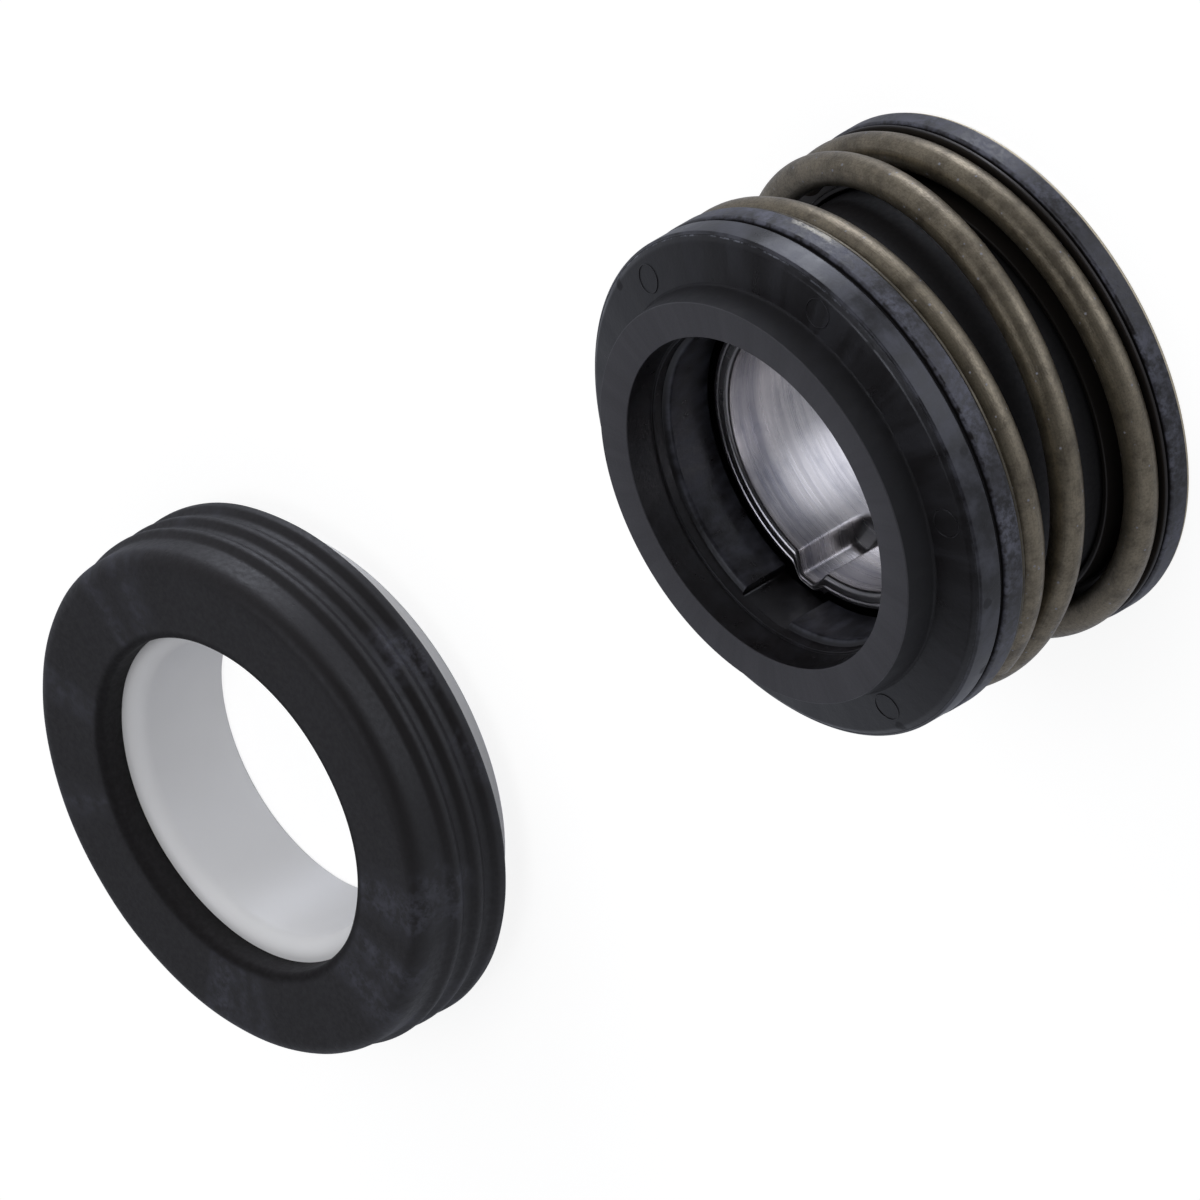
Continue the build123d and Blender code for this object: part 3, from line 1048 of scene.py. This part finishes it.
class SEAL_OT_spring_seats(bpy.types.Operator):
    """Thin metal rings that the spring bears on"""

    bl_idname = "seal.spring_seats"
    bl_label = "Spring seats"

    def execute(self, context):
        head = settings("seal_head")
        look = settings("seal_finishes")
        low, high = front_seat_box.foot, front_seat_box.top
        front = rounded(
            (head.seat_bore, low, 0.08 * MM),
            (front_seat_box.radius, low, 0.1 * MM),
            (front_seat_box.radius, high, 0.1 * MM),
            (head.seat_bore, high, 0.08 * MM),
        )
        piece = turned("front_ring", front, front_seat_box.axis)
        material = dull_sheet_finish("front_ring_sheet", look.dull_sheet, metallic=0.9)
        dressed(piece, material, "face_carrier", "stainless_sheet", "front_spring_seat")
        low, high = rear_seat_box.foot, rear_seat_box.top
        collar = head.seat_bore + head.collar_sheet
        rear = rounded(
            (head.seat_bore, low, 0.5 * MM),
            (rear_seat_box.radius, low, 0.1 * MM),
            (rear_seat_box.radius, low + head.seat_sheet, 0.1 * MM),
            (collar, low + head.seat_sheet, 0.25 * MM),
            (collar, high, 0.12 * MM),
            (head.seat_bore, high, 0.12 * MM),
        )
        piece = turned("rear_ring", rear, rear_seat_box.axis)
        # The rear ring's near-black colour is painted shade.
        material = dull_sheet_finish("rear_ring_sheet", look.shade_and_stain_sheet, metallic=0.5)
        dressed(piece, material, "drive_unit", "stainless_sheet", "rear_spring_seat")
        return {"FINISHED"}


class SEAL_OT_ceramic(bpy.types.Operator):
    """White ceramic ring of the stationary seat"""

    bl_idname = "seal.ceramic"
    bl_label = "Ceramic seat"

    def execute(self, context):
        seat = settings("seal_seat")
        low, high = ceramic_box.foot, ceramic_box.top
        outer = ceramic_box.radius
        chamfer = seat.edge_chamfer
        section = rounded(
            (seat.ceramic_bore, low + chamfer, 0.1 * MM),
            (seat.ceramic_bore + chamfer, low, 0.1 * MM),
            (outer - chamfer, low, 0.1 * MM),
            (outer, low + chamfer, 0.1 * MM),
            (outer, high, seat.back_round),
            (seat.ceramic_bore, high, seat.bore_round),
            arc_step=math.radians(6),
        )
        piece = turned("ceramic_ring", section, ceramic_box.axis)
        dressed(piece, ceramic_finish(), "seat", "ceramic", "ceramic_seat")
        return {"FINISHED"}


class SEAL_OT_cup(bpy.types.Operator):
    """Rubber cup of the stationary seat, with its gripping ridges"""

    bl_idname = "seal.cup"
    bl_label = "Seat cup"

    def execute(self, context):
        seat = settings("seal_seat")
        low, high = cup_box.foot, cup_box.top
        crest = cup_box.radius
        land = crest - seat.ridge_rise
        wall = ceramic_box.radius
        corners = [
            (wall, low, 0.15 * MM),
            (wall, ceramic_box.top, seat.back_round),
            (seat.cup_bore, ceramic_box.top, 0.1 * MM),
            (seat.cup_bore, high, seat.lip_round),
            (land, high, seat.shoulder_round),
        ]
        for ridge in range(seat.ridge_count):
            top = high - seat.first_crest - seat.ridge_pitch * ridge
            base = top - seat.crest_width
            corners.append((land, top + seat.slope_width, seat.groove_round))
            corners.append((crest, top, seat.crest_round))
            if ridge < seat.ridge_count - 1:
                corners.append((crest, base, seat.crest_round))
                corners.append((land, base - seat.slope_width, seat.groove_round))
        corners.append((crest, low, seat.mouth_round))
        piece = turned("rubber_cup", refined(rounded(*corners), SOFT_RUN), cup_box.axis)
        uneven(piece, depth=0.035 * MM, scale=230.0)
        opening = seat.cup_bore + seat.lip_round
        # Inside the opening the rubber takes the darker colour: painted shade in the cup's bore.
        look = ("cup_rubber", cup_box.axis, opening - 0.3 * MM, opening + 0.3 * MM)
        material = rubber_finish(*look, bloom_share=0.36, evenness=0.25, gloss=0.5)
        dressed(piece, material, "seat", "rubber", "seat_cup")
        return {"FINISHED"}


# Stage


def camera_axes(stage):
    """Right, up and back of the camera, with the upright axis leaning as the stage says."""
    back = Vector((math.cos(stage.elevation), 0, math.sin(stage.elevation)))
    level = Vector((0, 1, 0))
    upright = back.cross(level)
    lean = stage.axis_lean
    right = level * math.sin(lean) + upright * math.cos(lean)
    up = upright * math.sin(lean) - level * math.cos(lean)
    return right, up, back


def aim_camera(stage):
    """Places the camera so that the nose face and the cup's back lie at their pixels."""
    right, up, back = camera_axes(stage)
    scale = stage.pixels_each_mm / MM
    spots = [
        (Vector((washer_box.axis, 0, washer_box.top)), stage.nose_pixel),
        (Vector((cup_box.axis, 0, cup_box.top)), stage.cup_pixel),
    ]
    across = sum(spot.dot(right) - (x - PHOTO_SIDE / 2) / scale for spot, (x, y) in spots) / 2
    upward = sum(spot.dot(up) + (y - PHOTO_SIDE / 2) / scale for spot, (x, y) in spots) / 2
    depth = sum(spot.dot(back) for spot, _ in spots) / 2
    data = bpy.data.cameras.new("camera")
    data.sensor_width = 36.0
    data.lens = data.sensor_width * scale * stage.distance / PHOTO_SIDE
    data.clip_start, data.clip_end = 0.1, 20.0
    camera = added("camera", data)
    place = right * across + up * upward + back * (depth + stage.distance)
    turn = Matrix((right, up, back)).transposed().to_4x4()
    camera.matrix_world = Matrix.Translation(place) @ turn
    bpy.context.scene.camera = camera


def add_lamp(name, target, offset, wide, tall, power):
    """A soft rectangular lamp at an offset from a target, which it faces."""
    data = bpy.data.lights.new(name, "AREA")
    data.shape = "RECTANGLE"
    data.size, data.size_y = wide, tall
    data.energy = power
    lamp = added(name, data)
    lamp.location = target + Vector(offset)
    lamp.rotation_mode = "QUATERNION"
    lamp.rotation_quaternion = (target - lamp.location).to_track_quat("-Z", "Y")
    lamp.visible_glossy = False


def ray_kinds(wiring):
    """1 for rays from the camera, straight or through glass, and then 1 for mirrored rays."""
    path = wiring.add("ShaderNodeLightPath").output.node
    kinds = ("Camera", "Transmission", "Glossy")
    camera, through, mirrored = (Socket(wiring, path.outputs[f"Is {kind} Ray"]) for kind in kinds)
    return camera.maths("MAXIMUM", through), mirrored


def facing(wiring, direction, azimuth, elevation, wide, narrow):
    """1 within narrow degrees of a place in the tent, easing to 0 at wide degrees from it."""
    turn, rise = math.radians(azimuth), math.radians(elevation)
    level = math.cos(rise)
    middle = (math.cos(turn) * level, math.sin(turn) * level, math.sin(rise))
    sockets = {0: direction, 1: middle}
    closeness = wiring.add("ShaderNodeVectorMath", {"operation": "DOT_PRODUCT"}, sockets, out=1)
    return closeness.ramp(math.cos(math.radians(wide)), math.cos(math.radians(narrow)))


def light_tent(stage):
    """A light tent, white where it shows, with a dim roof and door and three bright panels."""
    world = bpy.data.worlds.new("tent")
    world.use_nodes = True
    world.cycles.sampling_method = "NONE"
    wiring = Wiring(world.node_tree)
    world.node_tree.nodes.clear()
    direction = wiring.add("ShaderNodeTexCoord", out="Generated")
    upward = wiring.parts(direction)[2]
    glow = upward.ramp(*ROOF_EDGE, stage.tent, stage.tent_roof)
    glow = glow * (1 - facing(wiring, direction, *TENT_DOOR) * stage.tent_door)
    panels = ((SIDE_PANEL, stage.side_panel), (FRONT_PANEL, stage.front_panel))
    for place, brightness in (*panels, (ROOF_PANEL, stage.roof_panel)):
        glow = glow + facing(wiring, direction, *place) * brightness
    shown, mirrored = ray_kinds(wiring)
    strength = shown + (1 - shown) * (mirrored * glow + (1 - mirrored) * stage.sky)
    tint = wiring.mix(shown, wiring.mix(mirrored, SKY_TINT, TENT_TINT), WHITE)
    light = wiring.add("ShaderNodeBackground", None, {"Color": tint, "Strength": strength})
    wiring.add("ShaderNodeOutputWorld", None, {0: light})
    bpy.context.scene.world = world


def lay_floor(look):
    """A wide pale floor that shows as white and keeps the shadow."""
    half_width = 4.0
    gap = 0.02 * MM
    shown_glow = 1.15
    glow_share = 0.75
    form = bmesh.new()
    bmesh.ops.create_grid(form, x_segments=1, y_segments=1, size=half_width)
    floor = mesh_piece("floor", form)
    floor.location.z = START_BOX[0].z - gap
    floor.visible_glossy = False
    material = bpy.data.materials.new("floor")
    material.use_nodes = True
    wiring = Wiring(material.node_tree)
    material.node_tree.nodes.clear()
    tint = rgba(look.floor)
    lit = wiring.add("ShaderNodeBsdfDiffuse", None, {"Color": tint})
    glow = wiring.add("ShaderNodeEmission", None, {"Color": tint, "Strength": shown_glow})
    share = ray_kinds(wiring)[0] * glow_share
    mixed = wiring.add("ShaderNodeMixShader", None, {0: share, 1: lit, 2: glow})
    wiring.add("ShaderNodeOutputMaterial", None, {0: mixed})
    floor.data.materials.append(material)


class SEAL_OT_stage(bpy.types.Operator):
    """Pale floor, soft studio light and camera"""

    bl_idname = "seal.stage"
    bl_label = "Stage"

    def execute(self, context):
        stage = settings("seal_stage")
        low, high = START_BOX
        middle = (low + high) / 2
        lay_floor(settings("seal_finishes"))
        light_tent(stage)
        add_lamp("side_lamp", middle, *SIDE_LAMP, stage.side_light)
        add_lamp("top_lamp", middle, *TOP_LAMP, stage.top_light)
        aim_camera(stage)
        context.scene.view_settings.view_transform = "Standard"
        return {"FINISHED"}


class SEAL_PT_panel(bpy.types.Panel):
    """Lists the operators and their settings"""

    bl_idname = "SEAL_PT_panel"
    bl_label = "Shaft seal"
    bl_space_type = "VIEW_3D"
    bl_region_type = "UI"
    bl_category = "Seal"

    def draw(self, context):
        for operator in OPERATORS:
            self.layout.operator(operator.bl_idname)
        for group in GROUPS:
            box = self.layout.box()
            values = getattr(context.scene, group)
            for name in values.bl_rna.properties.keys():
                if name not in ("name", "rna_type"):
                    box.prop(values, name)


GROUPS = {
    "seal_head": HeadSizes,
    "seal_seat": SeatSizes,
    "seal_finishes": Finishes,
    "seal_stage": StageSettings,
}

OPERATORS = (
    SEAL_OT_stage,
    SEAL_OT_sleeve,
    SEAL_OT_spring_seats,
    SEAL_OT_spring,
    SEAL_OT_bellows,
    SEAL_OT_washer,
    SEAL_OT_ceramic,
    SEAL_OT_cup,
)


def register():
    """Registers the setting groups, the operators and the panel."""
    for name, group in GROUPS.items():
        bpy.utils.register_class(group)
        setattr(bpy.types.Scene, name, bpy.props.PointerProperty(type=group))
    for item in (*OPERATORS, SEAL_PT_panel):
        bpy.utils.register_class(item)


def unregister():
    """Takes away what register added, in reverse."""
    for item in reversed((*OPERATORS, SEAL_PT_panel)):
        bpy.utils.unregister_class(item)
    for name, group in reversed(GROUPS.items()):
        delattr(bpy.types.Scene, name)
        bpy.utils.unregister_class(group)


def main():
    """Builds the stage and all pieces."""
    register()
    for operator in OPERATORS:
        family, name = operator.bl_idname.split(".")
        getattr(getattr(bpy.ops, family), name)()


if __name__ == "__main__":
    main()
